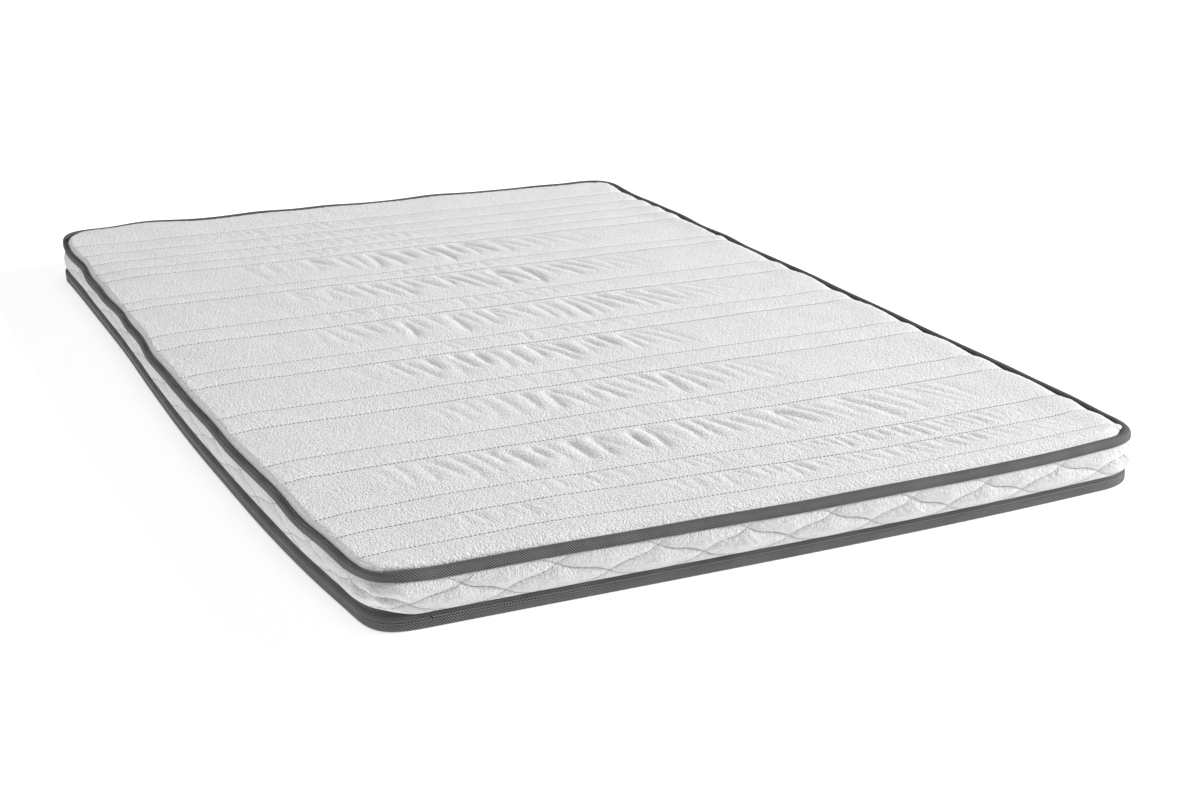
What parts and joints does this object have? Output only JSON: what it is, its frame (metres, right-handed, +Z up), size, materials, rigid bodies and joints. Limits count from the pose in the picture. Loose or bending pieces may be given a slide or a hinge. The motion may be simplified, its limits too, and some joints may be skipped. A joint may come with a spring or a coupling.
{
  "type": "memory foam mattress",
  "caption": "Thin memory foam mattress in a quilted, zip-off knit cover with dark binding tapes round its upper and lower edges.",
  "frame": {"origin": "middle of the outline on the underside, where the mattress rests", "axes": "+Z up; +X across the width; +Y along the length, from the foot to the head, where the zip closes"},
  "size_m": [1.4, 2.0013, 0.092],
  "materials": {
    "cover_knit": "pebbled stretch knit, matte",
    "quilting_thread": "fine polyester thread",
    "border_thread": "fine polyester thread",
    "binding_tape": "twill-woven polyester tape with a slight sheen",
    "binding_thread": "polyester thread",
    "wadding": "loose fibre wadding",
    "scrim": "thin non-woven",
    "memory_foam": "open-cell viscoelastic foam",
    "support_foam": "open-cell polyurethane foam",
    "underside_cloth": "plain knit with a fine grip pattern",
    "zip_tape": "herringbone-woven tape",
    "zip_coil": "nylon coil",
    "zip_metal": "enamelled zinc"
  },
  "bodies": {
    "mattress": {"support_foam_core": "support_foam", "memory_foam_layer": "memory_foam", "top_panel_scrim": "scrim", "top_panel_wadding": "wadding", "top_panel_knit": "cover_knit", "top_quilting_thread": "quilting_thread", "border_knit": "cover_knit", "border_wadding": "wadding", "border_scrim": "scrim", "border_quilting_thread": "border_thread", "upper_binding_tape": "binding_tape", "lower_binding_tape": "binding_tape", "upper_binding_thread": "binding_thread", "lower_binding_thread": "binding_thread", "underside_cloth": "underside_cloth", "zip_upper_tape": "zip_tape", "zip_lower_tape": "zip_tape", "zip_upper_coil": "zip_coil", "zip_lower_coil": "zip_coil", "zip_end_stops": "zip_metal"},
    "zip_slider": {"zip_slider": "zip_metal"},
    "zip_pull": {"zip_pull_tab": "zip_metal"}
  },
  "joints": [
    {"name": "zip_slide", "type": "slide", "parent": "mattress", "child": "zip_slider", "axis": [-1, 0, 0], "range_m": [0, 1.2]},
    {"name": "pull_swing", "type": "hinge", "parent": "zip_slider", "child": "zip_pull", "pos_m": [0.6, 0.9996, 0.0175], "axis": [1, 0, 0], "range_deg": [0, 150]}
  ]
}
